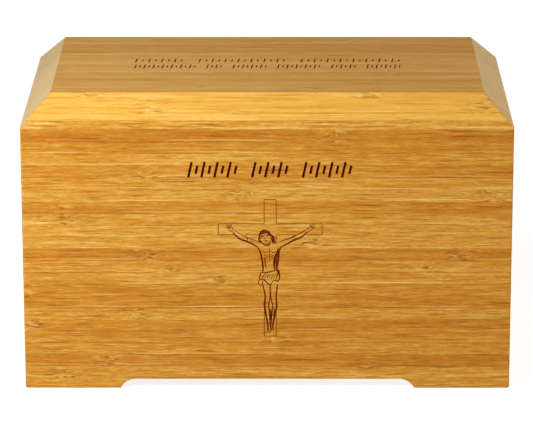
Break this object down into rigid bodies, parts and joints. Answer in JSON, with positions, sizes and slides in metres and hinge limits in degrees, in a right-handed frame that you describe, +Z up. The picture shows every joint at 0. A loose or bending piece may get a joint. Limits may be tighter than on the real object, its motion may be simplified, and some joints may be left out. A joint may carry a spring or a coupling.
{
  "type": "cremation urn box",
  "caption": "Bamboo cremation urn box with bracket feet, a bevelled top, a screwed base panel, and an engraved crucifix and rows of strokes.",
  "frame": {"origin": "on the floor under the middle of the box", "axes": "+Z up, the engraved front faces -Y, +X to the right of a person who looks at the front"},
  "size_m": [0.254, 0.154, 0.1565],
  "materials": {
    "bamboo_wall": "satin lacquer on caramelised edge-grain bamboo, grain along each wall",
    "bamboo_top": "satin lacquer on caramelised edge-grain bamboo, grain from side to side",
    "screw": "zinc plated"
  },
  "bodies": {
    "root": {"front_wall": "bamboo_wall", "right_wall": "bamboo_wall", "back_wall": "bamboo_wall", "left_wall": "bamboo_wall", "top_board": "bamboo_top", "base_panel": "bamboo_wall", "base_screw_1": "screw", "base_screw_2": "screw", "base_screw_3": "screw", "base_screw_4": "screw"}
  },
  "joints": []
}
